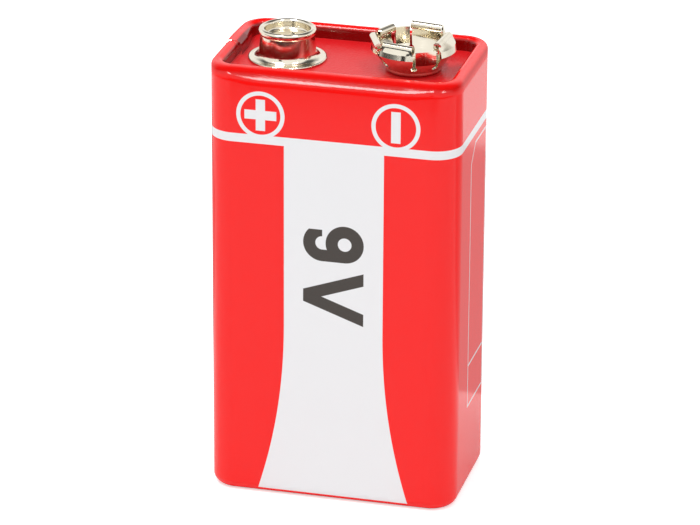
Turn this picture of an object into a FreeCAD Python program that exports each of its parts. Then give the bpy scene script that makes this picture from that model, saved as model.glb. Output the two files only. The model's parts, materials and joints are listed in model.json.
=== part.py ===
import FreeCAD, Part
import math
import os
import re

import Sketcher

# A nine volt battery of six flat cells, in millimetres.
# X runs across the front, from the stud to the socket. Y runs from the front to the back.
# Z is up, and the origin lies on the table, under the middle of the steel jacket.

# Driving dimensions. Each one is written once, and everything below is worked out from them.
SIZES = {
    # Steel jacket, one folded sheet of tinplate
    "body_width": 25.5,
    "body_depth": 15.8,
    "body_height": 45.7,
    "corner_radius": 2.7,
    "tin_thickness": 0.25,
    "rim_bead_radius": 0.65,
    "recess_depth": 1.4,
    "foot_radius": 1.0,
    "foot_flange_width": 2.2,
    "seam_lap": 2.4,
    "seam_joggle": 2.7,
    "seam_place": -0.4,
    "seam_step": 0.12,
    "seam_fold_width": 0.4,
    "seam_feather": 0.03,
    # Boards that close the jacket
    "board_thickness": 1.5,
    "base_thickness": 1.3,
    "board_gap": 0.08,
    "rivet_hole_gap": 0.05,
    # Terminals
    "terminal_inset": 6.3,
    "terminal_sheet": 0.25,
    "stud_head_diameter": 5.72,
    "stud_waist_diameter": 5.38,
    "stud_flange_diameter": 7.9,
    "stud_height": 3.0,
    "stud_rim_radius": 0.3,
    "stud_rim_land": 0.16,
    "stud_barrel_taper": 0.105,
    "stud_foot_share": 0.7,
    "stud_dish_depth": 1.0,
    "dish_corner_radius": 0.35,
    "socket_base_diameter": 5.7,
    "socket_base_radius": 0.45,
    "slit_height": 1.1,
    "slit_width": 0.26,
    "slit_hole_diameter": 0.6,
    "petal_widest_radius": 4.25,
    "petal_widest_height": 2.2,
    "petal_shoulder_radius": 4.12,
    "petal_shoulder_height": 2.85,
    "petal_top_height": 3.7,
    "petal_roll_radius": 0.42,
    "petal_roll_end_angle": 300,
    "petal_grip_radius": 2.75,
    "plain_petal_radius": 3.72,
    "plain_petal_height": 2.95,
    # Rivets
    "stud_rivet_head_diameter": 5.4,
    "socket_rivet_head_diameter": 3.8,
    "rivet_head_thickness": 0.3,
    "rivet_shank_diameter": 2.2,
    "rivet_bore_diameter": 1.4,
    "rivet_roll_diameter": 3.4,
    "rivet_roll_thickness": 0.35,
    # Strips that join the pile to the terminals
    "strip_thickness": 0.2,
    "strip_width": 4.2,
    "contact_foot_length": 7.0,
    "contact_slant_length": 0.85,
    # Liner, wrap and pads
    "liner_thickness": 0.3,
    "liner_gap": 0.05,
    "wrap_thickness": 0.12,
    "wrap_gap": 0.03,
    "wrap_lip_width": 1.2,
    "pad_thickness": 0.5,
    "pad_window_width": 8.0,
    "pad_window_margin": 0.5,
    # Flat cells
    "cell_count": 6,
    "pile_headroom": 1.65,
    "cell_corner_radius": 2.0,
    "window_corner_radius": 0.3,
    "film_thickness": 0.15,
    "film_lip_width": 1.6,
    "film_gap": 0.05,
    "zinc_thickness": 0.5,
    "separator_thickness": 0.2,
    "separator_wall_height": 1.6,
    "cake_edge_chamfer": 0.4,
    "collector_gap": 0.1,
}

document = FreeCAD.newDocument("NineVoltBattery")
sheet = document.addObject("Spreadsheet::Sheet", "Sizes")
for row, (alias, number) in enumerate(SIZES.items(), start=1):
    sheet.set(f"A{row}", alias)
    sheet.set(f"B{row}", str(number))
    sheet.setAlias(f"B{row}", alias)
document.recompute()

nodes = []


def linked(expression):
    """Write the sheet's name before every alias of an expression."""
    def name(match):
        word = match.group()
        return "Sizes." + word if word in SIZES else word
    return re.sub(r"[a-z_]+", name, expression)


def value(expression):
    """Work an expression out from the sheet's cells."""
    return float(sheet.evalExpression(expression))


def bind(thing, prop, expression):
    thing.setExpression(prop, linked(expression))


def new_body(label):
    body = document.addObject("PartDesign::Body", label)
    body.Label = label
    nodes.append(body)
    return body


def origin_plane(body, role):
    return next(item for item in body.Origin.OriginFeatures if item.Role == role)


def new_sketch(body, name, plane, height=None):
    """Make a sketch on one of the body's own planes, moved along its normal."""
    sketch = body.newObject("Sketcher::SketchObject", name)
    sketch.AttachmentSupport = [(origin_plane(body, plane), "")]
    sketch.MapMode = "FlatFace"
    if height is not None:
        bind(sketch, "AttachmentOffset.Base.z", height)
    return sketch


def hold(sketch, geometry, point, x, y):
    """Tie one end of a sketch's line or arc to the place that x and y work out to."""
    for kind, axis, expression in (("DistanceX", -2, x), ("DistanceY", -1, y)):
        place = value(expression)
        if abs(place) < 1e-9:
            sketch.addConstraint(Sketcher.Constraint("PointOnObject", geometry, point, axis))
        elif place > 0:
            index = sketch.addConstraint(Sketcher.Constraint(kind, -1, 1, geometry, point, place))
            sketch.setExpression(f"Constraints[{index}]", linked(expression))
        else:
            index = sketch.addConstraint(Sketcher.Constraint(kind, geometry, point, -1, 1, -place))
            sketch.setExpression(f"Constraints[{index}]", linked(f"-({expression})"))


def profile(sketch, corners):
    """Draw a closed outline. Each corner is (x, y), or (x, y, radius, turn) where an arc of that
    radius leads on to the next corner, turning left (1) or right (-1)."""
    first = sketch.GeometryCount
    places = [FreeCAD.Vector(value(corner[0]), value(corner[1]), 0) for corner in corners]
    count = len(corners)
    for index, corner in enumerate(corners):
        start = places[index]
        end = places[(index + 1) % count]
        if len(corner) == 2:
            sketch.addGeometry(Part.LineSegment(start, end))
            continue
        radius = value(corner[2])
        chord = end - start
        reach = math.sqrt(max(radius ** 2 - (chord.Length / 2) ** 2, 0))
        side = FreeCAD.Vector(-chord.y, chord.x, 0).normalize() * corner[3]
        centre = (start + end) * 0.5 + side * reach
        bulge = centre - side * radius
        ends = (start, end) if corner[3] > 0 else (end, start)
        sketch.addGeometry(Part.Arc(ends[0], bulge, ends[1]))
    for index, corner in enumerate(corners):
        here = first + index
        after = first + (index + 1) % count
        this_end = end_number(sketch, here, places[(index + 1) % count])
        next_start = end_number(sketch, after, places[(index + 1) % count])
        sketch.addConstraint(Sketcher.Constraint("Coincident", here, this_end, after, next_start))
    for index, corner in enumerate(corners):
        here = first + index
        hold(sketch, here, end_number(sketch, here, places[index]), corner[0], corner[1])
        if len(corner) == 4:
            number = sketch.addConstraint(Sketcher.Constraint("Radius", here, value(corner[2])))
            sketch.setExpression(f"Constraints[{number}]", linked(corner[2]))


def end_number(sketch, geometry, place):
    """Say which end of a line or arc, 1 or 2, lies at a place."""
    edge = sketch.Geometry[geometry]
    return 1 if edge.StartPoint.distanceToPoint(place) < 1e-5 else 2


def rounded_outline(sketch, half_width, half_depth, radius, middle_x="0"):
    """Draw a rectangle with round corners about the sketch's middle."""
    left, right = f"{middle_x} - ({half_width})", f"{middle_x} + ({half_width})"
    near, far = f"-({half_depth})", f"{half_depth}"
    profile(sketch, [
        (f"{left} + ({radius})", near),
        (f"{right} - ({radius})", near, radius, 1),
        (right, f"{near} + ({radius})"),
        (right, f"{far} - ({radius})", radius, 1),
        (f"{right} - ({radius})", far),
        (f"{left} + ({radius})", far, radius, 1),
        (left, f"{far} - ({radius})"),
        (left, f"{near} + ({radius})", radius, 1),
    ])


def pad(body, sketch, name, length):
    feature = body.newObject("PartDesign::Pad", name)
    feature.Profile = sketch
    bind(feature, "Length", length)
    document.recompute()
    return feature


def pocket(body, sketch, name, length, reverse=False):
    """Cut a sketch into the body, and make sure that something was cut."""
    before = body.Shape.Volume
    feature = body.newObject("PartDesign::Pocket", name)
    feature.Profile = sketch
    feature.Reversed = reverse
    bind(feature, "Length", length)
    document.recompute()
    if body.Shape.Volume > before - 1e-6:
        raise RuntimeError(f"{name} cuts nothing")
    return feature


def revolve(body, sketch, name):
    feature = body.newObject("PartDesign::Revolution", name)
    feature.Profile = sketch
    feature.ReferenceAxis = (sketch, ["V_Axis"])
    feature.Angle = 360
    document.recompute()
    return feature


# The crown's petals, each one bent by hand tools a little differently: the plan angles that it
# spans, whether its top is rolled, and how far it is pushed out and lifted
PETALS = [
    (229, 284, True, 0.15, -0.15),
    (284, 322, False, 0.0, 0.0),
    (322, 388, True, -0.15, -0.05),
    (412, 468, True, 0.15, 0.1),
    (468, 497, False, 0.0, 0.3),
    (497, 536, True, 0.3, 0.0),
    (536, 589, True, 0.6, -0.3),
]

# Places that several pieces share
SOCKET_X = "(body_width / 2 - terminal_inset)"
STUD_X = f"(0 - {SOCKET_X})"
RIM_CENTRE = "(body_height - rim_bead_radius)"
FLARE_SLOPE = ("((petal_widest_radius - socket_base_diameter / 2)"
               " / (petal_widest_height - socket_base_radius))")
SLIT_RADIUS = f"(socket_base_diameter / 2 + (slit_height - socket_base_radius) * {FLARE_SLOPE})"
FLARE_SKIN = f"(terminal_sheet * sqrt(1 + {FLARE_SLOPE} ^ 2))"
PLAIN_BEND_HEIGHT = (f"(socket_base_radius + (plain_petal_radius - socket_base_diameter / 2)"
                     f" / {FLARE_SLOPE})")
HALF_INSIDE_WIDTH = "(body_width / 2 - tin_thickness)"
HALF_INSIDE_DEPTH = "(body_depth / 2 - tin_thickness)"
INSIDE_RADIUS = "(corner_radius - tin_thickness)"
BOARD_TOP = "(body_height - recess_depth)"
BOARD_UNDERSIDE = f"({BOARD_TOP} - board_thickness)"
BASE_TOP = "(tin_thickness + base_thickness)"
LINER_INNER = "(liner_gap + liner_thickness)"
WRAP_OUTER = f"({LINER_INNER} + wrap_gap)"
FILM_OUTER = f"({WRAP_OUTER} + wrap_thickness + wrap_gap)"
STRIP_ROOM = "(strip_thickness + wrap_gap)"
PILE_SHIFT = f"(0 - {STRIP_ROOM} / 2)"
CELL_HALF_WIDTH = f"({HALF_INSIDE_WIDTH} - {FILM_OUTER} - {STRIP_ROOM} / 2)"
FOOT_LEFT = f"(0 - {CELL_HALF_WIDTH} / 2)"
CELL_HALF_DEPTH = f"({HALF_INSIDE_DEPTH} - {FILM_OUTER})"
PILE_TOP = f"({BOARD_UNDERSIDE} - pile_headroom)"
CELL_PITCH = f"(({PILE_TOP} - {BASE_TOP}) / cell_count)"
CAKE_HEIGHT = f"({CELL_PITCH} - 2 * film_thickness - zinc_thickness - separator_thickness)"
WINDOW = "(film_thickness + film_lip_width)"
CONTACT_TAB = f"({STUD_X} + strip_width / 2)"
CONTACT_TOE = f"({CONTACT_TAB} + contact_slant_length)"
CONTACT_TIP = f"({CONTACT_TOE} + contact_foot_length)"
STRIP_FACE = f"({HALF_INSIDE_WIDTH} - {LINER_INNER} - wrap_gap)"


def steel_jacket():
    """The sheet wraps round the pile, laps on the left side, and is curled in at both ends."""
    body = new_body("steel_jacket")
    path = new_sketch(body, "JacketPath", "XY_Plane")
    rounded_outline(path, "body_width / 2", "body_depth / 2", "corner_radius")
    section = new_sketch(body, "JacketSection", "XZ_Plane")
    outside = "body_width / 2"
    crest = f"{outside} - rim_bead_radius"
    lip = f"{outside} - 2 * rim_bead_radius"
    foot = f"{outside} - foot_radius"
    profile(section, [
        (outside, "foot_radius"),
        (outside, RIM_CENTRE, "rim_bead_radius", 1),
        (crest, "body_height", "rim_bead_radius", 1),
        (lip, RIM_CENTRE),
        (lip, BOARD_TOP),
        (f"{lip} + tin_thickness", BOARD_TOP),
        (f"{lip} + tin_thickness", RIM_CENTRE, "rim_bead_radius - tin_thickness", -1),
        (crest, "body_height - tin_thickness", "rim_bead_radius - tin_thickness", -1),
        (f"{outside} - tin_thickness", RIM_CENTRE),
        (f"{outside} - tin_thickness", "foot_radius", "foot_radius - tin_thickness", -1),
        (foot, "tin_thickness"),
        (f"{outside} - foot_flange_width", "tin_thickness"),
        (f"{outside} - foot_flange_width", "0"),
        (foot, "0", "foot_radius", 1),
    ])
    sheet_all_round = body.newObject("PartDesign::AdditivePipe", "JacketSheet")
    sheet_all_round.Profile = section
    sheet_all_round.Spine = path
    sheet_all_round.Mode = "Standard"
    document.recompute()

    # The rear end of the sheet laps over the front end, over the rim and down into the recess
    lap_start = seam_section(body, "SeamEdge", "0 - seam_place", "seam_step", "seam_fold_width")
    lap = pad(body, lap_start, "SeamLap", "seam_lap")
    lap.Reversed = True
    full = seam_section(body, "SeamFull", "0 - seam_place - seam_lap", "seam_step",
                        "seam_fold_width")
    feather = seam_section(body, "SeamFeather", "0 - seam_place - seam_lap - seam_joggle",
                           "seam_feather", "2 * seam_feather")
    joggle = body.newObject("PartDesign::AdditiveLoft", "SeamJoggle")
    joggle.Profile = full
    joggle.Sections = [feather]
    joggle.Ruled = True
    document.recompute()


def seam_section(body, name, place, rise, fold):
    """Draw the lapping layer in section: proud of the sheet below by rise, wider in by fold."""
    sketch = new_sketch(body, name, "XZ_Plane", place)
    left = "-(body_width / 2)"
    crest = f"{left} + rim_bead_radius"
    lip = f"{left} + 2 * rim_bead_radius"
    profile(sketch, [
        (f"{left} - {rise}", "foot_radius"),
        (f"{left} - {rise}", RIM_CENTRE, f"rim_bead_radius + {rise}", -1),
        (crest, f"body_height + {rise}"),
        (f"{crest} + {fold} - {rise}", f"body_height + {rise}", f"rim_bead_radius + {rise}", -1),
        (f"{lip} + {fold}", RIM_CENTRE),
        (f"{lip} + {fold}", BOARD_TOP),
        (f"{lip} - tin_thickness / 2", BOARD_TOP),
        (f"{lip} - tin_thickness / 2", RIM_CENTRE, "rim_bead_radius - tin_thickness / 2", 1),
        (crest, "body_height - tin_thickness / 2", "rim_bead_radius - tin_thickness / 2", 1),
        (f"{left} + tin_thickness / 2", RIM_CENTRE),
        (f"{left} + tin_thickness / 2", "foot_radius"),
    ])
    return sketch


def terminal_board():
    """An insulating board seats under the curled rim and carries both terminals."""
    body = new_body("terminal_board")
    outline = new_sketch(body, "BoardOutline", "XY_Plane", BOARD_UNDERSIDE)
    rounded_outline(outline, f"{HALF_INSIDE_WIDTH} - board_gap",
                    f"{HALF_INSIDE_DEPTH} - board_gap", f"{INSIDE_RADIUS} - board_gap")
    pad(body, outline, "BoardPlate", "board_thickness")
    holes = new_sketch(body, "BoardHoles", "XY_Plane", BOARD_UNDERSIDE)
    for middle in (STUD_X, SOCKET_X):
        circle(holes, middle, "0", "rivet_shank_diameter / 2 + rivet_hole_gap")
    pocket(body, holes, "RivetHoles", "board_thickness", reverse=True)


def base_board():
    """The lower board lies on the jacket's foot flange. A groove takes the negative strip."""
    body = new_body("base_board")
    outline = new_sketch(body, "BaseOutline", "XY_Plane", "tin_thickness")
    inset = "(foot_radius - tin_thickness)"
    rounded_outline(outline, f"{HALF_INSIDE_WIDTH} - {inset}", f"{HALF_INSIDE_DEPTH} - {inset}",
                    f"{INSIDE_RADIUS} - {inset}")
    pad(body, outline, "BasePlate", "base_thickness")
    wide = new_sketch(body, "BaseWideOutline", "XY_Plane", "foot_radius")
    rounded_outline(wide, f"{HALF_INSIDE_WIDTH} - board_gap", f"{HALF_INSIDE_DEPTH} - board_gap",
                    f"{INSIDE_RADIUS} - board_gap")
    pad(body, wide, "BaseShoulder", f"{BASE_TOP} - foot_radius")
    groove = new_sketch(body, "StripGroove", "XY_Plane", f"{BASE_TOP} - strip_thickness")
    left = f"{FOOT_LEFT} - collector_gap"
    right = f"{STRIP_FACE} + collector_gap"
    side = "(strip_width / 2 + collector_gap)"
    profile(groove, [(left, f"-{side}"), (right, f"-{side}"), (right, side), (left, side)])
    pocket(body, groove, "StripGrooveCut", "strip_thickness", reverse=True)


def circle(sketch, x, y, radius):
    """Add a circle whose middle and radius are tied to the sheet."""
    centre = FreeCAD.Vector(value(x), value(y), 0)
    normal = FreeCAD.Vector(0, 0, 1)
    index = sketch.addGeometry(Part.Circle(centre, normal, value(radius)))
    hold(sketch, index, 3, x, y)
    number = sketch.addConstraint(Sketcher.Constraint("Radius", index, value(radius)))
    sketch.setExpression(f"Constraints[{number}]", linked(radius))


def positive_stud():
    """One drawn shell: flange, waisted barrel, rolled rim and a crown dished down inside it."""
    body = new_body("positive_stud")
    sketch = new_sketch(body, "StudSection", "XZ_Plane")
    head = "stud_head_diameter / 2"
    waist = "stud_waist_diameter / 2"
    flange = "stud_flange_diameter / 2"
    skin = "terminal_sheet"
    top = f"({skin} + stud_height)"
    rim_middle = f"({head} - stud_rim_radius)"
    rim_top = f"({top} - stud_rim_radius)"
    rim_foot = f"({rim_top} - stud_rim_land)"
    inner = f"({head} - 2 * stud_rim_radius)"
    neck = f"sqrt(stud_rim_radius ^ 2 - ({rim_middle} - {waist}) ^ 2)"
    floor = f"({top} - stud_dish_depth)"
    # The barrel widens evenly from its waist down to where the foot's arc meets it in line
    slant = "sqrt(1 + stud_barrel_taper ^ 2)"
    widest = f"({waist} + stud_barrel_taper * ({rim_foot} - {neck} - {skin}))"
    foot_radius = f"(({flange} - {skin} / 2 - {widest}) * stud_foot_share)"
    foot_top = f"({skin} + {foot_radius} * (1 - stud_barrel_taper / {slant}))"
    barrel = f"({waist} + stud_barrel_taper * ({rim_foot} - {neck} - {foot_top}))"
    foot_out = f"({barrel} + {foot_radius} / {slant})"
    inner_foot = f"({foot_radius} + {skin})"
    inner_barrel = f"({foot_out} - {inner_foot} / {slant})"
    inner_foot_top = f"({inner_foot} * (1 - stud_barrel_taper / {slant}))"
    under_floor = f"({floor} - {skin})"
    inner_waist = f"({inner_barrel} - stud_barrel_taper * ({under_floor} - {inner_foot_top}))"
    profile(sketch, [
        (f"{foot_out}", "0"),
        (f"{flange} - {skin} / 2", "0", f"{skin} / 2", 1),
        (flange, f"{skin} / 2", f"{skin} / 2", 1),
        (f"{flange} - {skin} / 2", skin),
        (foot_out, skin, foot_radius, -1),
        (barrel, foot_top),
        (waist, f"{rim_foot} - {neck}", "stud_rim_radius", 1),
        (head, rim_foot),
        (head, rim_top, "stud_rim_radius", 1),
        (rim_middle, top, "stud_rim_radius", 1),
        (inner, rim_top),
        (inner, f"{floor} + dish_corner_radius", "dish_corner_radius", -1),
        (f"{inner} - dish_corner_radius", floor),
        ("0", floor),
        ("0", under_floor),
        (inner_waist, under_floor),
        (inner_barrel, inner_foot_top, inner_foot, 1),
    ])
    revolve(body, sketch, "StudShell")
    bind(body, "Placement.Base.x", STUD_X)
    bind(body, "Placement.Base.z", BOARD_TOP)


def rivet(label, middle, head_diameter, head_place):
    """A tubular rivet: flat head above the board, open shank, and a roll under the strip."""
    body = new_body(label)
    sketch = new_sketch(body, label + "_section", "XZ_Plane")
    shank = "rivet_shank_diameter / 2"
    bore = "rivet_bore_diameter / 2"
    under = f"({BOARD_UNDERSIDE} - strip_thickness)"
    roll = "rivet_roll_diameter / 2"
    round_edge = "rivet_roll_thickness / 2"
    profile(sketch, [
        ("0", f"{head_place} + rivet_head_thickness"),
        ("0", head_place),
        (bore, head_place),
        (bore, f"{under} - rivet_roll_thickness"),
        (f"{roll} - {round_edge}", f"{under} - rivet_roll_thickness", round_edge, 1),
        (roll, f"{under} - {round_edge}", round_edge, 1),
        (f"{roll} - {round_edge}", under),
        (shank, under),
        (shank, head_place),
        (f"{head_diameter} / 2", head_place),
        (f"{head_diameter} / 2", f"{head_place} + rivet_head_thickness"),
    ])
    revolve(body, sketch, label + "_turned")
    bind(body, "Placement.Base.x", middle)


def socket_cup():
    """The crown's cup, up to the foot of its slits, is turned about the terminal's axis."""
    body = document.addObject("PartDesign::Body", "socket_cup")
    sketch = new_sketch(body, "CupSection", "XZ_Plane")
    skin = "terminal_sheet"
    base = "socket_base_diameter / 2"
    hole = "rivet_shank_diameter / 2 + rivet_hole_gap"
    corner = "socket_base_radius"
    profile(sketch, [
        (hole, "0"),
        (f"{base} - {corner}", "0", corner, 1),
        (base, corner),
        (SLIT_RADIUS, "slit_height"),
        (f"({SLIT_RADIUS} - {FLARE_SKIN})", "slit_height"),
        (f"{base} - {skin}", corner, f"{corner} - {skin}", -1),
        (f"{base} - {corner}", skin),
        (hole, skin),
    ])
    revolve(body, sketch, "Cup")
    return body


def arc_strip(radius, skin, height, half_angle):
    """Outline a level cut through a round stretch of the crown's wall."""
    def at(distance, angle):
        return FreeCAD.Vector(distance * math.cos(angle), distance * math.sin(angle), height)
    inner = radius - skin
    return Part.Wire([
        Part.Arc(at(radius, -half_angle), at(radius, 0), at(radius, half_angle)).toShape(),
        Part.LineSegment(at(radius, half_angle), at(inner, half_angle)).toShape(),
        Part.Arc(at(inner, half_angle), at(inner, 0), at(inner, -half_angle)).toShape(),
        Part.LineSegment(at(inner, -half_angle), at(radius, -half_angle)).toShape(),
    ])


def straight_strip(radius, skin, height, half_length):
    """Outline a level cut through a straight stretch of the crown's wall."""
    corners = [(radius, -half_length), (radius, half_length),
               (radius - skin, half_length), (radius - skin, -half_length)]
    places = [FreeCAD.Vector(x, y, height) for x, y in corners]
    return Part.Wire([Part.LineSegment(places[i], places[(i + 1) % 4]).toShape()
                      for i in range(4)])


def roll(middle, height, half_length):
    """Make a rolled top: an open tube along Y whose start is level with its middle."""
    outer = value("petal_roll_radius")
    inner = outer - value("terminal_sheet")
    end = math.radians(value("petal_roll_end_angle"))

    def at(radius, angle):
        return FreeCAD.Vector(middle + radius * math.cos(angle), -half_length,
                              height + radius * math.sin(angle))

    section = Part.Wire([
        Part.Arc(at(outer, 0), at(outer, end / 2), at(outer, end)).toShape(),
        Part.LineSegment(at(outer, end), at(inner, end)).toShape(),
        Part.Arc(at(inner, end), at(inner, end / 2), at(inner, 0)).toShape(),
        Part.LineSegment(at(inner, 0), at(outer, 0)).toShape(),
    ])
    return Part.Face(section).extrude(FreeCAD.Vector(0, 2 * half_length, 0))


def petal(span, rolled, push, lift):
    """One petal about the X axis, from the foot of its slits to its top."""
    half_span = math.radians(span / 2)
    slit, skin = value("slit_width"), value(FLARE_SKIN)

    def level(radius, height):
        return arc_strip(radius, skin, height, half_span - slit / 2 / radius)

    foot = level(value(SLIT_RADIUS), value("slit_height"))
    if not rolled:
        bend = level(value("plain_petal_radius"), value(PLAIN_BEND_HEIGHT))
        top = level(value("plain_petal_radius"), value("plain_petal_height") + lift)
        return Part.makeLoft([foot, bend, top], True, True)
    widest = level(value("petal_widest_radius"), value("petal_widest_height"))
    shoulder = level(value("petal_shoulder_radius"), value("petal_shoulder_height") + lift)
    outer = value("petal_roll_radius")
    middle = value("petal_grip_radius") + outer + push
    height = value("petal_top_height") - outer + lift
    half_length = middle * math.tan(half_span) - slit / 2
    start = straight_strip(middle + outer, value("terminal_sheet"), height, half_length)
    wall = Part.makeLoft([foot, widest, shoulder, start], True, True)
    return wall.fuse(roll(middle, height, half_length))


def negative_socket():
    """The crown: a drawn cup whose flared wall is slit, and most petals are rolled inward."""
    cup = socket_cup()
    up = FreeCAD.Vector(0, 0, 1)
    here = FreeCAD.Vector(0, 0, 0)
    crown = cup.Shape.copy()
    for start, end, rolled, push, lift in PETALS:
        piece = petal(end - start, rolled, push, lift)
        piece.rotate(here, up, (start + end) / 2)
        crown = crown.fuse(piece)
    hole_radius = value("slit_hole_diameter / 2")
    for angle in sorted({angle % 360 for start, end, *_ in PETALS for angle in (start, end)}):
        outward = FreeCAD.Vector(math.cos(math.radians(angle)), math.sin(math.radians(angle)), 0)
        foot = FreeCAD.Vector(0, 0, value("slit_height")) + outward * value(SLIT_RADIUS) / 2
        crown = crown.cut(Part.makeCylinder(hole_radius, value(SLIT_RADIUS), foot, outward))
    feature = document.addObject("Part::Feature", "negative_socket")
    feature.Label = "negative_socket"
    feature.Shape = crown.removeSplitter()
    feature.Placement.Base = FreeCAD.Vector(value(SOCKET_X), 0, value(BOARD_TOP))
    nodes.append(feature)


def slab(body, name, low, height, margin, corner=None):
    """Pad a rounded plate whose edge lies inside a cell's outline by margin."""
    sketch = new_sketch(body, name, "XY_Plane", low)
    cell_outline(sketch, margin, corner)
    return pad(body, sketch, name + "Pad", height)


def ring(body, name, low, height, margin, wall, corner=None):
    """Pad a rounded band: its outside lies inside a cell's outline by margin."""
    sketch = new_sketch(body, name, "XY_Plane", low)
    cell_outline(sketch, margin)
    cell_outline(sketch, f"({margin}) + ({wall})", corner)
    return pad(body, sketch, name + "Pad", height)


def cell_outline(sketch, margin, corner=None):
    """Draw a cell's outline, drawn in by margin, with a corner of its own where one is given."""
    rounded_outline(sketch, f"{CELL_HALF_WIDTH} - ({margin})", f"{CELL_HALF_DEPTH} - ({margin})",
                    corner or f"cell_corner_radius - ({margin})", PILE_SHIFT)


def liner():
    """A card tube lines the jacket and keeps it away from the pile and its strip."""
    body = new_body("card_liner")
    sketch = new_sketch(body, "LinerOutline", "XY_Plane", BASE_TOP)
    for margin in ("liner_gap", LINER_INNER):
        rounded_outline(sketch, f"{HALF_INSIDE_WIDTH} - {margin}",
                        f"{HALF_INSIDE_DEPTH} - {margin}", f"{INSIDE_RADIUS} - {margin}")
    pad(body, sketch, "LinerTube", f"{BOARD_UNDERSIDE} - {BASE_TOP}")


def pile_wrap():
    """Shrunk film holds the six cells together and turns in over the top cell."""
    body = new_body("pile_wrap")
    outside = "0 - (wrap_thickness + wrap_gap)"
    ring(body, "WrapTube", BASE_TOP, f"{PILE_TOP} - {BASE_TOP}", outside, "wrap_thickness")
    ring(body, "WrapLip", PILE_TOP, "wrap_thickness", outside, "wrap_lip_width")


def top_pad():
    """A card pad keeps the strips above it off the top cell; the contact reaches through it."""
    body = new_body("top_pad")
    sketch = new_sketch(body, "PadOutline", "XY_Plane", f"{PILE_TOP} + film_thickness")
    cell_outline(sketch, "0")
    left = f"({CONTACT_TOE} - pad_window_margin)"
    right = f"({CONTACT_TIP} + pad_window_margin)"
    half = "(pad_window_width / 2)"
    profile(sketch, [(left, f"0 - {half}"), (right, f"0 - {half}"), (right, half), (left, half)])
    pad(body, sketch, "PadPlate", "pad_thickness")


def positive_contact():
    """A leaf is held under the board by the stud's rivet and presses on the top cell."""
    body = new_body("positive_contact")
    section = new_sketch(body, "ContactSection", "XZ_Plane")
    skin = "strip_thickness"
    tab_left = f"{STUD_X} - strip_width / 2"
    low = f"{PILE_TOP} + film_thickness"
    lean = f"{skin} / 2"
    profile(section, [
        (tab_left, f"{BOARD_UNDERSIDE} - {skin}"),
        (CONTACT_TAB, f"{BOARD_UNDERSIDE} - {skin}"),
        (CONTACT_TOE, low),
        (CONTACT_TIP, low),
        (CONTACT_TIP, f"{low} + {skin}"),
        (f"{CONTACT_TOE} + {lean}", f"{low} + {skin}"),
        (f"{CONTACT_TAB} + {lean}", BOARD_UNDERSIDE),
        (tab_left, BOARD_UNDERSIDE),
    ])
    leaf = pad(body, section, "ContactLeaf", "strip_width")
    leaf.Midplane = True
    document.recompute()
    strip_hole(body, "ContactHole", STUD_X)


def strip_hole(body, name, middle):
    """Punch the rivet's hole through a strip's tab."""
    sketch = new_sketch(body, name, "XY_Plane", f"{BOARD_UNDERSIDE} - strip_thickness")
    circle(sketch, middle, "0", "rivet_shank_diameter / 2 + rivet_hole_gap")
    pocket(body, sketch, name + "Cut", "strip_thickness", reverse=True)


def negative_lead():
    """A strip runs from under the pile, up its right side, to the socket's rivet."""
    body = new_body("negative_lead")
    section = new_sketch(body, "LeadSection", "XZ_Plane")
    skin = "strip_thickness"
    inner = f"({STRIP_FACE} - {skin})"
    tab_left = f"{SOCKET_X} - strip_width / 2"
    profile(section, [
        (FOOT_LEFT, f"{BASE_TOP} - {skin}"),
        (inner, f"{BASE_TOP} - {skin}", skin, 1),
        (STRIP_FACE, BASE_TOP),
        (STRIP_FACE, f"{BOARD_UNDERSIDE} - {skin}", skin, 1),
        (inner, BOARD_UNDERSIDE),
        (tab_left, BOARD_UNDERSIDE),
        (tab_left, f"{BOARD_UNDERSIDE} - {skin}"),
        (inner, f"{BOARD_UNDERSIDE} - {skin}"),
        (inner, BASE_TOP),
        (FOOT_LEFT, BASE_TOP),
    ])
    strip = pad(body, section, "LeadStrip", "strip_width")
    strip.Midplane = True
    document.recompute()
    strip_hole(body, "LeadHole", SOCKET_X)


def negative_collector():
    """A thin plate on the strip's foot fills the lowest film's window and meets the zinc."""
    body = new_body("negative_collector")
    slab(body, "CollectorOutline", BASE_TOP, "film_thickness", f"{WINDOW} + collector_gap",
         "window_corner_radius")


def flat_cell(number):
    """One flat cell: zinc plate, paper tray, cathode cake and the film that frames them."""
    low = f"({BASE_TOP} + {number - 1} * {CELL_PITCH})"
    plate_margin = "(film_thickness + film_gap)"

    zinc = new_body(f"zinc_plate_{number}")
    slab(zinc, f"ZincOutline{number}", f"{low} + film_thickness", "zinc_thickness", plate_margin)

    tray = new_body(f"separator_tray_{number}")
    tray_low = f"{low} + film_thickness + zinc_thickness"
    slab(tray, f"TrayFloor{number}", tray_low, "separator_thickness", plate_margin)
    ring(tray, f"TrayWall{number}", tray_low, "separator_thickness + separator_wall_height",
         plate_margin, "separator_thickness")

    cake = new_body(f"cathode_cake_{number}")
    cake_low = f"({tray_low} + separator_thickness)"
    cake_margin = f"({plate_margin} + separator_thickness + film_gap)"
    slab(cake, f"CakeOutline{number}", cake_low, CAKE_HEIGHT, cake_margin)
    bevel_top(cake, f"CakeBevel{number}", f"{cake_low} + {CAKE_HEIGHT}", "cake_edge_chamfer")
    slab(cake, f"CakeCrown{number}", f"{cake_low} + {CAKE_HEIGHT}", "2 * film_thickness",
         f"{WINDOW} + collector_gap", "window_corner_radius")

    film = new_body(f"cell_film_{number}")
    ring(film, f"FilmWall{number}", low, CELL_PITCH, "0", "film_thickness")
    ring(film, f"FilmLowerLip{number}", low, "film_thickness", "0", WINDOW,
         "window_corner_radius")
    ring(film, f"FilmUpperLip{number}", f"{low} + {CELL_PITCH} - film_thickness",
         "film_thickness", "0", WINDOW, "window_corner_radius")


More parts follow.
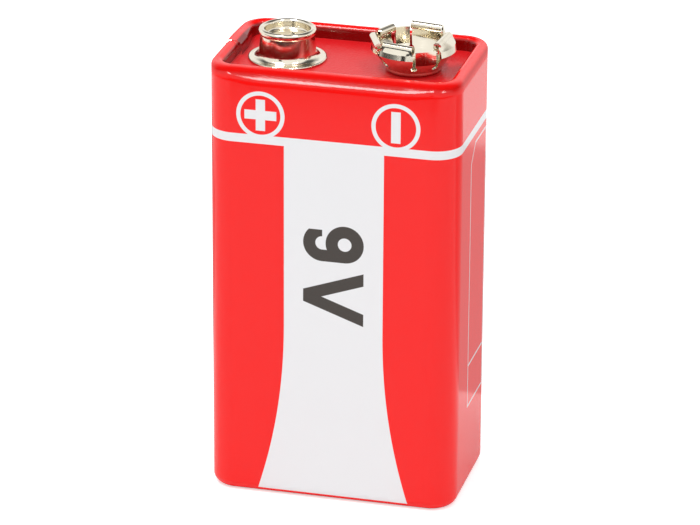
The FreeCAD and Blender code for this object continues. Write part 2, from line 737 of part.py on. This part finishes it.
def bevel_top(body, name, level, size):
    """Chamfer the edges of the body that lie at a level."""
    height = value(level)
    edges = [f"Edge{index}" for index, edge in enumerate(body.Shape.Edges, start=1)
             if abs(edge.BoundBox.ZMin - height) < 1e-4 and abs(edge.BoundBox.ZMax - height) < 1e-4]
    base = body.Tip
    bevel = body.newObject("PartDesign::Chamfer", name)
    bevel.Base = (base, edges)
    bind(bevel, "Size", size)
    document.recompute()


def faults():
    """List every object that failed, and every node that isn't one whole solid."""
    found = [item.Name for item in document.Objects
             if "Invalid" in item.State or "Error" in item.State]
    for node in nodes:
        shape = node.Shape
        if shape.isNull() or not shape.isValid() or len(shape.Solids) != 1:
            found.append(node.Label)
    return found


steel_jacket()
terminal_board()
base_board()
liner()
positive_stud()
rivet("positive_rivet", STUD_X, "stud_rivet_head_diameter", BOARD_TOP)
positive_contact()
negative_socket()
rivet("negative_rivet", SOCKET_X, "socket_rivet_head_diameter", f"({BOARD_TOP} + terminal_sheet)")
negative_lead()
negative_collector()
pile_wrap()
top_pad()
for cell_number in range(1, int(value("cell_count")) + 1):
    flat_cell(cell_number)

document.recompute()
failed = faults()
if failed:
    raise RuntimeError(f"failed: {failed}")
os.makedirs("parts", exist_ok=True)
for node in nodes:
    node.Shape.exportStep(f"parts/{node.Label}.step")
    box = node.Shape.BoundBox
    print(f"{node.Label}: {node.Shape.Volume:.1f} mm3, z {box.ZMin:.2f} to {box.ZMax:.2f}")
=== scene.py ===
# %% [markdown]
# # A nine volt battery, dressed for a studio picture
#
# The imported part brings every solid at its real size, in metres. This lesson gives each solid
# its finish, draws the jacket's print with arithmetic instead of pictures, and lights the
# battery on a plain pale floor. Each step ends with a line that says what it made.
#
# Lengths below are in millimetres, because a shader reads more easily that way, and `MM` turns
# them into metres.

# %%
import json
import math

import bpy
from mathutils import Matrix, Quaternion, Vector


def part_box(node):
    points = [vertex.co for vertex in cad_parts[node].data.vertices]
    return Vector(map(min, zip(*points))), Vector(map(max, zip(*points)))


MM = 0.001

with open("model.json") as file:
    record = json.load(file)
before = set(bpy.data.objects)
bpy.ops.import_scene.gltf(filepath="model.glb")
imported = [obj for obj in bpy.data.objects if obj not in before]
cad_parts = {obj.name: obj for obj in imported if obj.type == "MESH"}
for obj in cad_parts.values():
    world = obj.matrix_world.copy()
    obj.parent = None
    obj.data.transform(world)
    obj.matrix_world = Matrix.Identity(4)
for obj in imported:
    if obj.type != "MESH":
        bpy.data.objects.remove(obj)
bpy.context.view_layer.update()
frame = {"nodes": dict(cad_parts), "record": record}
nodes = frame["nodes"]

# %% [markdown]
# ## Where the print lies
#
# The jacket's box gives the faces that the print lies on.


# %%
def box_mm(node):
    """Give a solid's lowest and highest corner in millimetres."""
    low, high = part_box(node)
    return low / MM, high / MM


jacket_low, jacket_high = box_mm("steel_jacket")
side_face = jacket_high.x
front_face = jacket_low.y
print(f"right side at {side_face:.2f} mm, front at {front_face:.2f} mm")

# %% [markdown]
# ## Arithmetic on shader sockets
#
# A print that is sharp at any distance is a *signed distance*: a number that is negative
# inside a shape, positive outside and zero on its edge. Shader nodes can work one out, but
# wiring dozens of Math nodes by hand is hard to read. `Term` wraps one output socket, so
# that `a * 2 - b` adds the nodes and the links by itself.


# %%
class Term:
    """One output of a shader node tree, on which Python's operators add Math nodes."""

    def __init__(self, tree, socket):
        self.tree = tree
        self.socket = socket

    def maths(self, operation, *others):
        node = self.tree.nodes.new("ShaderNodeMath")
        node.operation = operation
        for place, term in enumerate((self, *others)):
            if isinstance(term, Term):
                self.tree.links.new(term.socket, node.inputs[place])
            else:
                node.inputs[place].default_value = term
        return Term(self.tree, node.outputs[0])

    def __add__(self, other):
        return self.maths("ADD", other)

    def __sub__(self, other):
        return self.maths("SUBTRACT", other)

    def __mul__(self, other):
        return self.maths("MULTIPLY", other)

    def __truediv__(self, other):
        return self.maths("DIVIDE", other)

    def __pow__(self, other):
        return self.maths("POWER", other)

    def __rsub__(self, other):
        return self * -1 + other

    def __neg__(self):
        return self * -1

    def __abs__(self):
        return self.maths("ABSOLUTE")

    def least(self, other):
        return self.maths("MINIMUM", other)

    def most(self, other):
        return self.maths("MAXIMUM", other)

    def root(self):
        return self.maths("SQRT")

    def clamped(self):
        """Hold the value between 0 and 1."""
        return self.least(1.0).most(0.0)

    def inside(self, softness):
        """Turn a signed distance into a mask: 1 inside, 0 outside, soft at the edge."""
        return (0.5 - self / softness).clamped()


print("terms are ready")

# %% [markdown]
# `Shader` makes a material and adds the nodes that aren't arithmetic: a point's place, noise,
# a mix of two colours and a bump.


# %%
class Shader:
    """A material's node tree, with one method that adds any node that isn't arithmetic."""

    def __init__(self, name):
        self.material = bpy.data.materials.new(name)
        self.material.use_nodes = True
        self.tree = self.material.node_tree
        self.surface = self.tree.nodes["Principled BSDF"]

    def node(self, kind, settings=None, inputs=None):
        made = self.tree.nodes.new(kind)
        for name, value in (settings or {}).items():
            setattr(made, name, value)
        for name, value in (inputs or {}).items():
            self.feed(made.inputs[name], value)
        return made

    def feed(self, socket, value):
        """Link a term to a socket, or set the socket to a constant."""
        if isinstance(value, Term):
            self.tree.links.new(value.socket, socket)
        else:
            socket.default_value = value

    def term(self, node, output=0):
        return Term(self.tree, node.outputs[output])

    def place_mm(self):
        """Give the surface point's x, y and z in millimetres."""
        where = self.node("ShaderNodeTexCoord")
        apart = self.node("ShaderNodeSeparateXYZ")
        self.tree.links.new(where.outputs["Object"], apart.inputs["Vector"])
        return [self.term(apart, axis) / MM for axis in range(3)]

    def noise(self, scale, detail=2.0, stretch=(1.0, 1.0, 1.0)):
        """Add noise in object space, with about `scale` grains a metre."""
        where = self.node("ShaderNodeTexCoord")
        spread = self.node("ShaderNodeMapping", inputs={"Scale": stretch})
        self.tree.links.new(where.outputs["Object"], spread.inputs["Vector"])
        made = self.node("ShaderNodeTexNoise", inputs={"Scale": scale, "Detail": detail})
        self.tree.links.new(spread.outputs["Vector"], made.inputs["Vector"])
        return self.term(made, "Fac")

    def blend(self, mask, colour, other):
        """Mix two colours: `colour` where the mask is 0, `other` where it is 1."""
        # A Mix node has sockets for several kinds of data. The colours are inputs 6 and 7 and
        # output 2.
        mix = self.node("ShaderNodeMix", {"data_type": "RGBA"})
        self.feed(mix.inputs["Factor"], mask)
        for socket, value in ((mix.inputs[6], colour), (mix.inputs[7], other)):
            self.feed(socket, value)
        return self.term(mix, 2)

    def bump(self, height, distance_mm):
        """Shade the surface as if it stood out by the height times the distance."""
        made = self.node("ShaderNodeBump", inputs={
            "Height": height, "Distance": distance_mm * MM, "Strength": 1.0})
        self.tree.links.new(made.outputs["Normal"], self.surface.inputs["Normal"])

    def finish(self, **inputs):
        """Feed the surface's inputs: Base_Color stands for Base Color, and so on."""
        for name, value in inputs.items():
            self.feed(self.surface.inputs[name.replace("_", " ")], value)
        return self.material


print("shaders are ready")

# %% [markdown]
# ## The print as signed distances
#
# A circle is a distance less a radius, and a bar is the larger of two one-way distances. The
# smaller of two shapes' distances joins them, and the larger keeps what they have in common. A
# ring is a stroke along a circle's line.


# %%
def circle(across, up, centre, radius):
    return ((across - centre[0]) ** 2 + (up - centre[1]) ** 2).root() - radius


def bar(across, up, centre, width, height):
    return (abs(across - centre[0]) - width / 2).most(abs(up - centre[1]) - height / 2)


def stroke(distance, width):
    """Give a line of some width along the place where a distance is zero."""
    return abs(distance) - width / 2


def joined(first, *others):
    for other in others:
        first = first.least(other)
    return first


def common(first, *others):
    for other in others:
        first = first.most(other)
    return first


print("circles, bars and strokes are ready")

# %% [markdown]
# ## The two signs
#
# The plus and the minus stand in rings. The minus is an upright bar, because the print is read
# with the battery on its side.

# %%
SIGN_HEIGHT = 40.9
SIGN_RADIUS = 2.46
SIGN_RING = 0.42
SIGN_BAR = (0.95, 3.25)
PLUS_ACROSS = -7.08
MINUS_ACROSS = 6.63


def polarity_signs(x, z):
    """Both ringed signs, whose rings touch the line round the jacket."""
    plus_place = (PLUS_ACROSS, SIGN_HEIGHT)
    minus_place = (MINUS_ACROSS, SIGN_HEIGHT)
    thick, long = SIGN_BAR
    middle = SIGN_RADIUS - SIGN_RING / 2
    return joined(
        stroke(circle(x, z, plus_place, middle), SIGN_RING),
        bar(x, z, plus_place, thick, long),
        bar(x, z, plus_place, long, thick),
        stroke(circle(x, z, minus_place, middle), SIGN_RING),
        bar(x, z, minus_place, thick, long),
    )


print(f"signs {SIGN_HEIGHT} mm up")

# %% [markdown]
# ## The white field
#
# A white line runs round the jacket, and the field hangs from it.

# %%
LINE_TOP = 38.8
LINE_WIDTH = 0.9
FIELD_MIDDLE = 0.39
FIELD_HALF_WIDTH = 5.08
FLARE_TOP = 19.0
FLARE_RATE = 0.006
FLARE_POWER = 2.1


def white_field(x, z):
    """The white field below the line, straight above and flared towards the foot."""
    drop = (FLARE_TOP - z).most(0.0)
    half_width = drop ** FLARE_POWER * FLARE_RATE + FIELD_HALF_WIDTH
    return (abs(x - FIELD_MIDDLE) - half_width).most(z - LINE_TOP)


print(f"field {2 * FIELD_HALF_WIDTH} mm wide, flared below {FLARE_TOP} mm")

# %% [markdown]
# ## The voltage
#
# The figure 9 is a ring for the bowl, a bar for the stem and a part of a second ring for the
# hook. The stem reaches a little into both, so that no soft edge shows where they meet. The V
# is one slanting stroke, mirrored.

# %%
LETTERS_TOP = 30.0
CAP_HEIGHT = 6.2
LETTER_STROKE = 1.25
BOWL_RADIUS = 1.95
JOIN_OVERLAP = 0.2
HOOK_END = 0.55
LETTER_GAP = 1.0
VEE_WIDTH = 5.6


def voltage(x, z):
    """The figure 9 and a V, turned to read down the field."""
    along = LETTERS_TOP - z
    rise = x - (FIELD_MIDDLE - CAP_HEIGHT / 2)
    line = BOWL_RADIUS - LETTER_STROKE / 2
    bowl = stroke(circle(along, rise, (BOWL_RADIUS, CAP_HEIGHT - BOWL_RADIUS), line),
                  LETTER_STROKE)
    stem_middle = CAP_HEIGHT / 2
    stem = bar(along, rise, (BOWL_RADIUS + line, stem_middle), LETTER_STROKE,
               CAP_HEIGHT - 2 * BOWL_RADIUS + JOIN_OVERLAP)
    hook = stroke(circle(along, rise, (BOWL_RADIUS, BOWL_RADIUS), line), LETTER_STROKE)
    hook_cut = common(hook, rise - BOWL_RADIUS, HOOK_END - along)
    slope = CAP_HEIGHT / (VEE_WIDTH / 2 - LETTER_STROKE / 2)
    vee_middle = 2 * BOWL_RADIUS + LETTER_GAP + VEE_WIDTH / 2
    lean = math.hypot(1, slope)
    leg = stroke((abs(along - vee_middle) * slope - rise) / lean, LETTER_STROKE)
    vee = common(leg, rise - CAP_HEIGHT, -rise)
    return joined(bowl, stem, hook_cut, vee)


print(f"figures {CAP_HEIGHT} mm high, from {LETTERS_TOP} mm down")

# %% [markdown]
# ## The panel on the narrow side

# %%
PANEL_LINE = 0.19
PANEL_FRONT = -1.2
PANEL_BACK = 5.2
PANEL_TOP = 37.0
PANEL_FOOT = 9.0
PANEL_DIVIDE = 13.5
PANEL_CUT = 1.8


def side_panel(y, z):
    """The thin outline on the narrow side: one corner cut off, and one line across."""
    width = PANEL_BACK - PANEL_FRONT
    height = PANEL_TOP - PANEL_FOOT
    centre = (PANEL_FRONT + width / 2, PANEL_FOOT + height / 2)
    corner = (z - y - (PANEL_TOP - PANEL_FRONT - PANEL_CUT)) / math.sqrt(2)
    frame_edge = bar(y, z, centre, width, height).most(corner)
    divide = bar(y, z, (centre[0], PANEL_DIVIDE), width, PANEL_LINE)
    return joined(stroke(frame_edge, PANEL_LINE), divide)


print(f"panel from {PANEL_FOOT} to {PANEL_TOP} mm")

# %% [markdown]
# ## The rim's shoulder
#
# The sheet bends over a soft shoulder before it rolls into the rim. The shoulder is only a
# bump: the height falls away ever faster towards the rim. It sags a little in the middle of
# the wide faces, as the rim of a thin sheet does. It stays level on the rim's inner side, which
# the distance from the jacket's outline tells from its outer side.

# %%
CORNER_RADIUS = 2.7
RIM_RADIUS = 0.65
SHOULDER_DEPTH = 1.97
SHOULDER_BEND = 1.0
SHOULDER_SLOPE = 1.4
SAG_LEVEL = 6.9
SAG_CURVE = 0.03
SAG_LIFT = 0.36
SHEET_ACROSS = (side_face, -front_face)


def outline_distance(x, y):
    """Give the distance outwards from the jacket's outline, a rectangle with round corners."""
    beyond_x = abs(x) - (SHEET_ACROSS[0] - CORNER_RADIUS)
    beyond_y = abs(y) - (SHEET_ACROSS[1] - CORNER_RADIUS)
    corner = (beyond_x.most(0.0) ** 2 + beyond_y.most(0.0) ** 2).root()
    return corner + beyond_x.most(beyond_y).least(0.0) - CORNER_RADIUS


def shoulder(x, y, z):
    """Give the shoulder's drop in millimetres, level again past the rim's crest."""
    past_crest = (-outline_distance(x, y) - RIM_RADIUS).maths("GREATER_THAN", 0.0)
    rise = z.most(past_crest * jacket_high.z)
    from_middle = (abs(x) - SAG_LEVEL).most(0.0)
    lift = (from_middle ** 2 * SAG_CURVE).least(SAG_LIFT)
    foot = lift + (jacket_high.z - SHOULDER_DEPTH)
    climbed = (rise - foot).most(0.0)
    curved = climbed.least(SHOULDER_BEND)
    straight = (climbed - SHOULDER_BEND).most(0.0)
    return (curved ** 2 / (2 * SHOULDER_BEND) + straight) * SHOULDER_SLOPE


print(f"shoulder from {SHOULDER_DEPTH} mm below the rim")

# %% [markdown]
# ## Lacquered tinplate
#
# One material covers the jacket. Masks choose between red, white and black ink under a clear
# lacquer. The signs, the field and the figures lie on both wide faces, and the panel on the
# right side only. Behind, the figures are mirrored, so that they read the right way there too.
#
# The rim's inner side is a darker red, a painted shade for the shade down in the recess under
# the rim. Where the sheet's end was cut, at the lap on the left, bare tin shows.

# %%
RED_INK = (0.93, 0.003, 0.002, 1)
# SHADED_RED is a painted shade for the rim's inner side in the recess.
SHADED_RED = (0.22, 0.001, 0.001, 1)
WHITE_INK = (0.82, 0.82, 0.835, 1)
BLACK_INK = (0.050, 0.040, 0.034, 1)
TIN = (0.80, 0.78, 0.74, 1)
EDGE_SOFTNESS = 0.03
FACE_DEPTH = 0.1
SIDE_DEPTH = 0.2
RIM_SHADE_START = 1.05
RIM_SHADE_FADE = 0.2
LAP_EDGE = -0.4
CUT_WIDTH = 0.02
CUT_SOFTNESS = 0.01
WAVE_SCALE = 900.0
WAVE_DETAIL = 1.0
WAVE_DEPTH = 0.0012
LACQUER_ROUGHNESS = 0.13
LACQUER_IOR = 1.45


def lacquered_tin():
    shader = Shader("red_lacquer")
    x, y, z = shader.place_mm()
    on_wide_face = abs(y).maths("GREATER_THAN", -front_face - FACE_DEPTH)
    on_side = x.maths("GREATER_THAN", side_face - SIDE_DEPTH)
    line_middle = LINE_TOP - LINE_WIDTH / 2
    white_line = stroke(z - line_middle, LINE_WIDTH).inside(EDGE_SOFTNESS)
    white = joined(polarity_signs(x, z), white_field(x, z)).inside(EDGE_SOFTNESS)
    panel = side_panel(y, z).inside(EDGE_SOFTNESS) * on_side
    white_mask = (white * on_wide_face).most(white_line).most(panel)
    turn = y.maths("SIGN") * -1
    letters = voltage((x - FIELD_MIDDLE) * turn + FIELD_MIDDLE, z).inside(EDGE_SOFTNESS)
    # Painted shade: the colour darkens to SHADED_RED on the rim's inner side, down in the
    # recess.
    painted_rim_shade = ((-outline_distance(x, y) - RIM_SHADE_START) / RIM_SHADE_FADE).clamped()
    painted_rim_shade = painted_rim_shade * z.maths("GREATER_THAN", jacket_high.z - SHOULDER_DEPTH)
    red = shader.blend(painted_rim_shade, RED_INK, SHADED_RED)
    ink = shader.blend(white_mask, red, WHITE_INK)
    ink = shader.blend(letters * on_wide_face, ink, BLACK_INK)
    cut_edge = stroke(y - LAP_EDGE, CUT_WIDTH).inside(CUT_SOFTNESS)
    cut_edge = cut_edge * x.maths("LESS_THAN", 0.0)
    ink = shader.blend(cut_edge, ink, TIN)
    unevenness = shader.noise(WAVE_SCALE, WAVE_DETAIL) * WAVE_DEPTH
    # This height is in millimetres already, so the bump's distance is one.
    shader.bump(unevenness - shoulder(x, y, z), 1.0)
    return shader.finish(Base_Color=ink, Roughness=LACQUER_ROUGHNESS, Metallic=cut_edge,
                         IOR=LACQUER_IOR)


red_lacquer = lacquered_tin()
print(f"{red_lacquer.name}: {len(red_lacquer.node_tree.nodes)} nodes")

# %% [markdown]
# ## Nickel
#
# Drawing a cup through a die leaves fine upright streaks in the metal, and age leaves faint
# warm stains, so the nickel's colour and roughness vary a little. Noise that changes quickly
# across and slowly upwards gives the streaks, and the peaks of a coarser noise give the stains.

# %%
NICKEL = (0.88, 0.82, 0.68, 1)
STAINED_NICKEL = (0.62, 0.53, 0.40, 1)
STREAK_SCALE = 7000.0
STREAK_DETAIL = 2.0
STREAK_STRETCH = (1, 1, 0.06)
STREAK_DEPTH = 0.0035
STAIN_SCALE = 420.0
STAIN_DETAIL = 4.0
STAIN_START = 0.52
STAIN_CONTRAST = 5
STAIN_STRENGTH = 0.5
STAIN_ROUGHNESS = 0.1
NICKEL_ROUGHNESS = 0.12


def drawn_nickel():
    shader = Shader("nickel")
    streaks = shader.noise(STREAK_SCALE, STREAK_DETAIL, STREAK_STRETCH)
    cloud = shader.noise(STAIN_SCALE, STAIN_DETAIL)
    stains = ((cloud - STAIN_START) * STAIN_CONTRAST).clamped()
    shader.bump(streaks, STREAK_DEPTH)
    colour = shader.blend(stains * STAIN_STRENGTH, NICKEL, STAINED_NICKEL)
    roughness = stains * STAIN_ROUGHNESS + NICKEL_ROUGHNESS
    return shader.finish(Base_Color=colour, Metallic=1.0, Roughness=roughness)


nickel = drawn_nickel()
print(f"{nickel.name}: {len(nickel.node_tree.nodes)} nodes")

# %% [markdown]
# ## Board and hidden pieces
#
# The other finishes are plain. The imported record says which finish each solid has.


# %%
def plain(name, colour, roughness, metallic=0.0, grain=None):
    """Make a plain finish, with a grain of (grains a metre, depth in mm) where wanted."""
    shader = Shader(name)
    if grain:
        shader.bump(shader.noise(grain[0]), grain[1])
    return shader.finish(Base_Color=colour, Roughness=roughness, Metallic=metallic)


finishes = {
    "red_lacquer": red_lacquer,
    "red_board": plain("red_board", (0.74, 0.008, 0.012, 1), 0.36, grain=(4500.0, 0.05)),
    "base_board": plain("base_board", (0.03, 0.03, 0.032, 1), 0.6, grain=(2500.0, 0.01)),
    "nickel": nickel,
    "tinned_strip": plain("tinned_strip", (0.62, 0.62, 0.60, 1), 0.35, 1.0),
    "card": plain("card", (0.50, 0.36, 0.22, 1), 0.85, grain=(1800.0, 0.02)),
    "clear_film": plain("clear_film", (0.82, 0.84, 0.86, 1), 0.2),
    "zinc": plain("zinc", (0.42, 0.43, 0.45, 1), 0.45, 1.0),
    "separator_paper": plain("separator_paper", (0.78, 0.73, 0.62, 1), 0.9),
    "cathode_mix": plain("cathode_mix", (0.02, 0.02, 0.022, 1), 0.8, grain=(4000.0, 0.02)),
}
for part in frame["record"]["subparts"]:
    piece = nodes[part["node"]]
    piece.data.materials.clear()
    piece.data.materials.append(finishes[part["material_slot"]])
print(f"{len(finishes)} finishes on {len(nodes)} solids")

# %% [markdown]
# ## Floor and background
#
# The lamps light the floor as they light the battery, and a glow on top makes it white. Only
# the camera's rays see the glow, so that it lights nothing and the metal mirrors the floor as
# it is lit. The world is white for whatever looks at it, and a little dimmer as a light.

# %%
FLOOR_SIZE = 2000.0
FLOOR_COLOUR = (0.9, 0.9, 0.9, 1)
FLOOR_ROUGHNESS = 0.9
FLOOR_GLOW = 0.5
WORLD_LEVEL = 0.8
PURE_WHITE = (1, 1, 1, 1)


def is_ray(tree, *kinds):
    """Give 1 for rays of the named kinds, and 0 for the others."""
    rays = tree.nodes.new("ShaderNodeLightPath")
    outputs = [Term(tree, rays.outputs[f"Is {kind} Ray"]) for kind in kinds]
    # Each output is 0 or 1, so the largest is 1 for a ray of any of the kinds.
    return common(*outputs)


def pale_floor():
    bpy.ops.mesh.primitive_plane_add(size=FLOOR_SIZE * MM, location=(0, 0, 0))
    floor = bpy.context.object
    floor.name = "floor"
    shader = Shader("floor")
    shader.finish(Base_Color=FLOOR_COLOUR, Roughness=FLOOR_ROUGHNESS, Specular_IOR_Level=0.0,
                  Emission_Color=PURE_WHITE)
    glow = is_ray(shader.tree, "Camera") * FLOOR_GLOW
    shader.feed(shader.surface.inputs["Emission Strength"], glow)
    floor.data.materials.append(shader.material)


def white_world():
    world = bpy.data.worlds.new("studio")
    bpy.context.scene.world = world
    world.use_nodes = True
    backdrop = world.node_tree.nodes["Background"]
    shown = is_ray(world.node_tree, "Camera", "Glossy", "Transmission")
    backdrop.inputs["Color"].default_value = PURE_WHITE
    strength = shown * (1 - WORLD_LEVEL) + WORLD_LEVEL
    world.node_tree.links.new(strength.socket, backdrop.inputs["Strength"])


pale_floor()
white_world()
print(f"floor {FLOOR_SIZE} mm wide, world at {WORLD_LEVEL}")

# %% [markdown]
# ## What the metal mirrors
#
# Bright metal looks like metal only when it mirrors something dark. A photographer hangs cards
# round a shiny thing for that. The dome here, and the cards, are seen by mirrored rays alone.
# The dome is white, but dark high behind the battery and in a band along the front horizon,
# which draws the thin dark lines in the nickel.

# %%
DOME_RADIUS = 900.0
DOME_SEGMENTS = 48
DOME_RINGS = 24
DOME_FOOT = 0.45
DOME_FADE = 0.25
DOME_DARK = 0.10
HORIZON_BAND = 0.19


def glow_in_mirrors(thing, strength):
    """Let a thing glow, seen by mirrored rays only."""
    shader = Shader(thing.name)
    glow = shader.node("ShaderNodeEmission", inputs={"Strength": strength(shader)})
    shader.tree.links.new(glow.outputs[0],
                          shader.tree.nodes["Material Output"].inputs["Surface"])
    thing.data.materials.append(shader.material)
    thing.visible_camera = False
    thing.visible_diffuse = False
    thing.visible_transmission = False
    thing.visible_shadow = False


def dome_strength(shader):
    x, y, z = shader.place_mm()
    overhead = ((z / DOME_RADIUS - DOME_FOOT) / DOME_FADE).clamped()
    behind = (y / DOME_RADIUS / DOME_FADE).clamped()
    in_front = (y / DOME_RADIUS / -DOME_FADE).clamped()
    band = (z / DOME_RADIUS).maths("LESS_THAN", HORIZON_BAND) * in_front
    return 1 - (overhead * behind).most(band) * (1 - DOME_DARK)


bpy.ops.mesh.primitive_uv_sphere_add(segments=DOME_SEGMENTS, ring_count=DOME_RINGS,
                                     radius=DOME_RADIUS * MM)
dome = bpy.context.object
dome.name = "dome"
glow_in_mirrors(dome, dome_strength)
print(f"dome {DOME_RADIUS} mm in radius")

# %% [markdown]
# One dark card stands in front, and one lies on the floor before it, where the stud's barrel
# mirrors it. A grey one lies on the floor behind.

# %%
DARK_CARD = 0.03
GREY_CARD = 0.5


def card(name, middle_mm, size_mm, lean, level):
    """Place a flat card. Lean 0 lies on the floor, and 90 stands and faces the front."""
    bpy.ops.mesh.primitive_plane_add(size=1.0, location=Vector(middle_mm) * MM,
                                     rotation=(math.radians(lean), 0, 0))
    thing = bpy.context.object
    thing.name = name
    thing.scale = (size_mm[0] * MM, size_mm[1] * MM, 1)
    glow_in_mirrors(thing, lambda shader: level)


card("standing_card", (-100, -400, 170), (90, 340), 90, DARK_CARD)
card("lying_card", (0, -425, 1), (1000, 600), 0, DARK_CARD)
card("rear_card", (60, 57, 1), (300, 74), 0, GREY_CARD)
print("three cards")

# %% [markdown]
# ## Lamps
#
# The key lamp hangs high on the left and draws the long highlight on the front rim. The second
# is smaller and weaker, and hangs on the right.

# %%
LAMP_DISTANCE = 500.0
LAMP_AIM = Vector((0, 0, 23))


def soft_lamp(name, azimuth, elevation, size_mm, power):
    """Hang a rectangular lamp that faces the battery, at angles seen from the battery."""
    light = bpy.data.lights.new(name, "AREA")
    light.shape = "RECTANGLE"
    light.size, light.size_y = size_mm[0] * MM, size_mm[1] * MM
    light.energy = power
    lamp = bpy.data.objects.new(name, light)
    bpy.context.scene.collection.objects.link(lamp)
    turn, rise = math.radians(azimuth), math.radians(elevation)
    away = Vector((math.sin(turn) * math.cos(rise), -math.cos(turn) * math.cos(rise),
                   math.sin(rise)))
    lamp.location = (LAMP_AIM + away * LAMP_DISTANCE) * MM
    lamp.rotation_mode = "QUATERNION"
    lamp.rotation_quaternion = (-away).to_track_quat("-Z", "Y")


soft_lamp("key", -50, 70, (170, 115), 0.92)
soft_lamp("second", 62, 65, (80, 85), 0.32)
print("two lamps")

# %% [markdown]
# ## Camera
#
# The camera's angles, distance and lens were fitted to the battery's outline in the photograph.
# It stands off from the target along `back`. The two shifts and the roll place the battery in
# the picture.

# %%
AZIMUTH = 14.277
ELEVATION = 22.058
ROLL = 0.343
DISTANCE = 426.0
LENS = 216.65
TARGET = Vector((0, 0, 23.0))
SHIFT_RIGHT = 0.085
SHIFT_UP = -0.046
CLIP_START = 10.0
CLIP_END = 10000.0

azimuth = math.radians(AZIMUTH)
elevation = math.radians(ELEVATION)
back = Vector((math.sin(azimuth) * math.cos(elevation),
               -math.cos(azimuth) * math.cos(elevation),
               math.sin(elevation)))
camera_data = bpy.data.cameras.new("camera")
camera_data.lens = LENS
camera_data.clip_start = CLIP_START * MM
camera_data.clip_end = CLIP_END * MM
camera = bpy.data.objects.new("camera", camera_data)
bpy.context.scene.collection.objects.link(camera)
camera.rotation_mode = "QUATERNION"
level_turn = (-back).to_track_quat("-Z", "Y")
right = level_turn @ Vector((1, 0, 0))
up = level_turn @ Vector((0, 1, 0))
camera.location = (TARGET + right * SHIFT_RIGHT + up * SHIFT_UP + back * DISTANCE) * MM
camera.rotation_quaternion = level_turn @ Quaternion((0, 0, 1), math.radians(ROLL))
bpy.context.scene.camera = camera
bpy.context.scene.view_settings.view_transform = "Standard"
print(f"camera at {camera.location / MM} mm")
